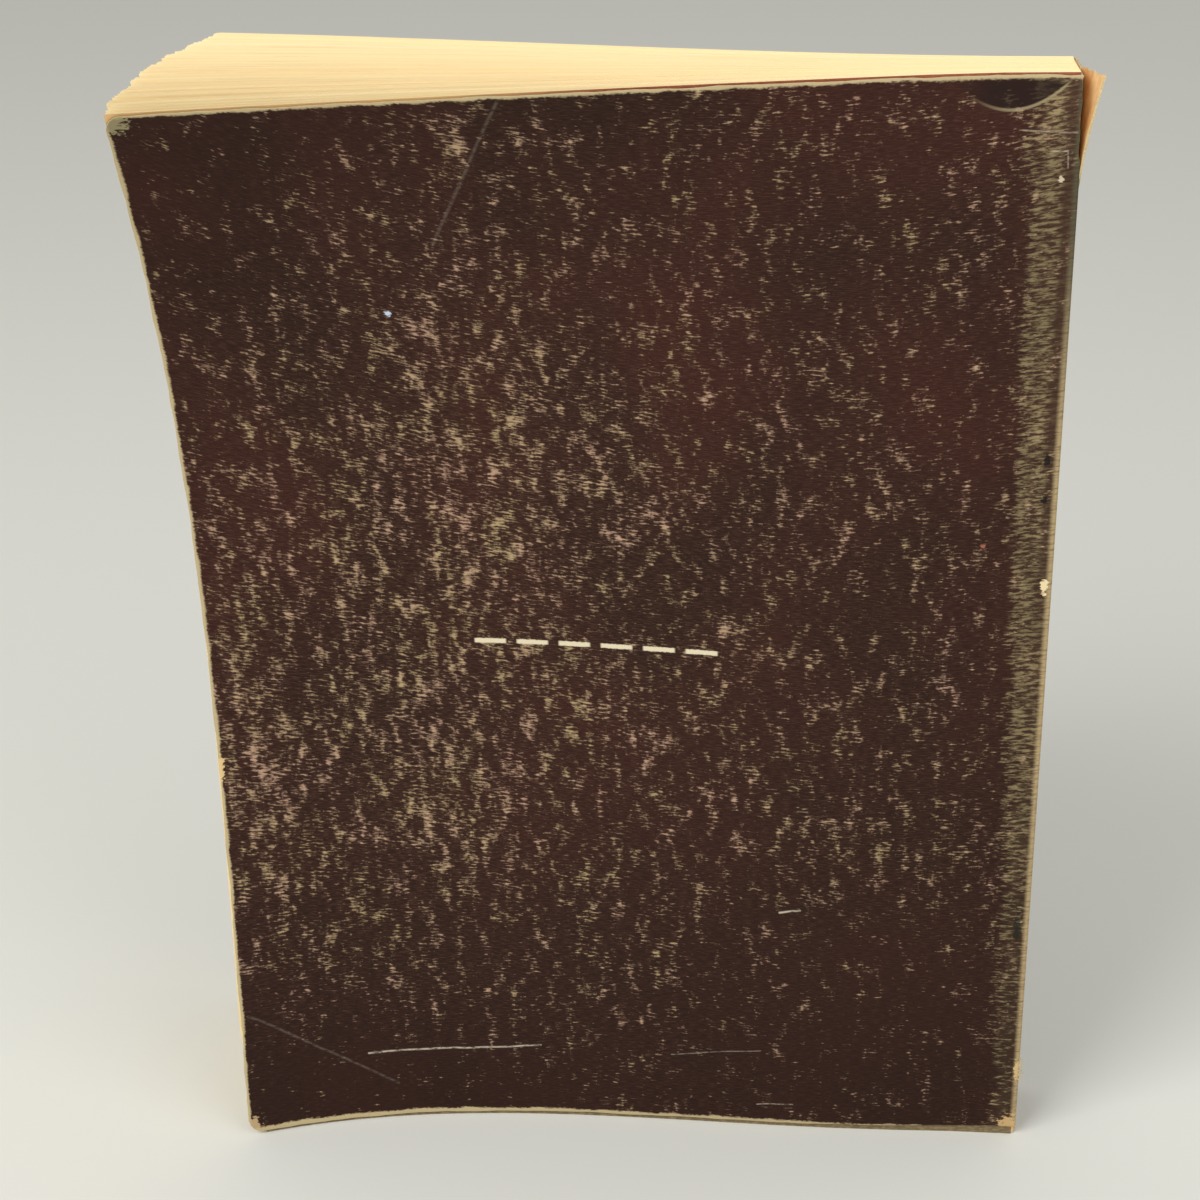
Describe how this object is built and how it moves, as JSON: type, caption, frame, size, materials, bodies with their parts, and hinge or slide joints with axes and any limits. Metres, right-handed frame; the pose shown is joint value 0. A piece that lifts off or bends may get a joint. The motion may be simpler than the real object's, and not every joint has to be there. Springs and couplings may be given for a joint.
{
  "type": "paperback book",
  "caption": "Large worn paperback standing on its tail with fanned, yellowed leaves and two hinged card covers.",
  "frame": {"origin": "middle of the bounding box, on the table that the tail stands on", "axes": "+Z from tail to head; the spine is at +X and the fore edge at -X; the back cover faces -Y"},
  "size_m": [0.2212, 0.0908, 0.2794],
  "materials": {
    "leaves": "matte",
    "adhesive": "matte",
    "cover_card": "satin"
  },
  "bodies": {
    "block": {"page_block": "leaves", "spine_glue": "adhesive", "spine_panel": "cover_card"},
    "back": {"back_cover": "cover_card"},
    "front": {"front_cover": "cover_card"}
  },
  "joints": [
    {"name": "back_fold", "type": "hinge", "parent": "block", "child": "back", "pos_m": [0.10557, -0.01986, 0], "axis": [0, 0, 1], "range_deg": [0, 165]},
    {"name": "front_fold", "type": "hinge", "parent": "block", "child": "front", "pos_m": [0.10557, 0.00434, 0], "axis": [0, 0, -1], "range_deg": [0, 165]}
  ]
}
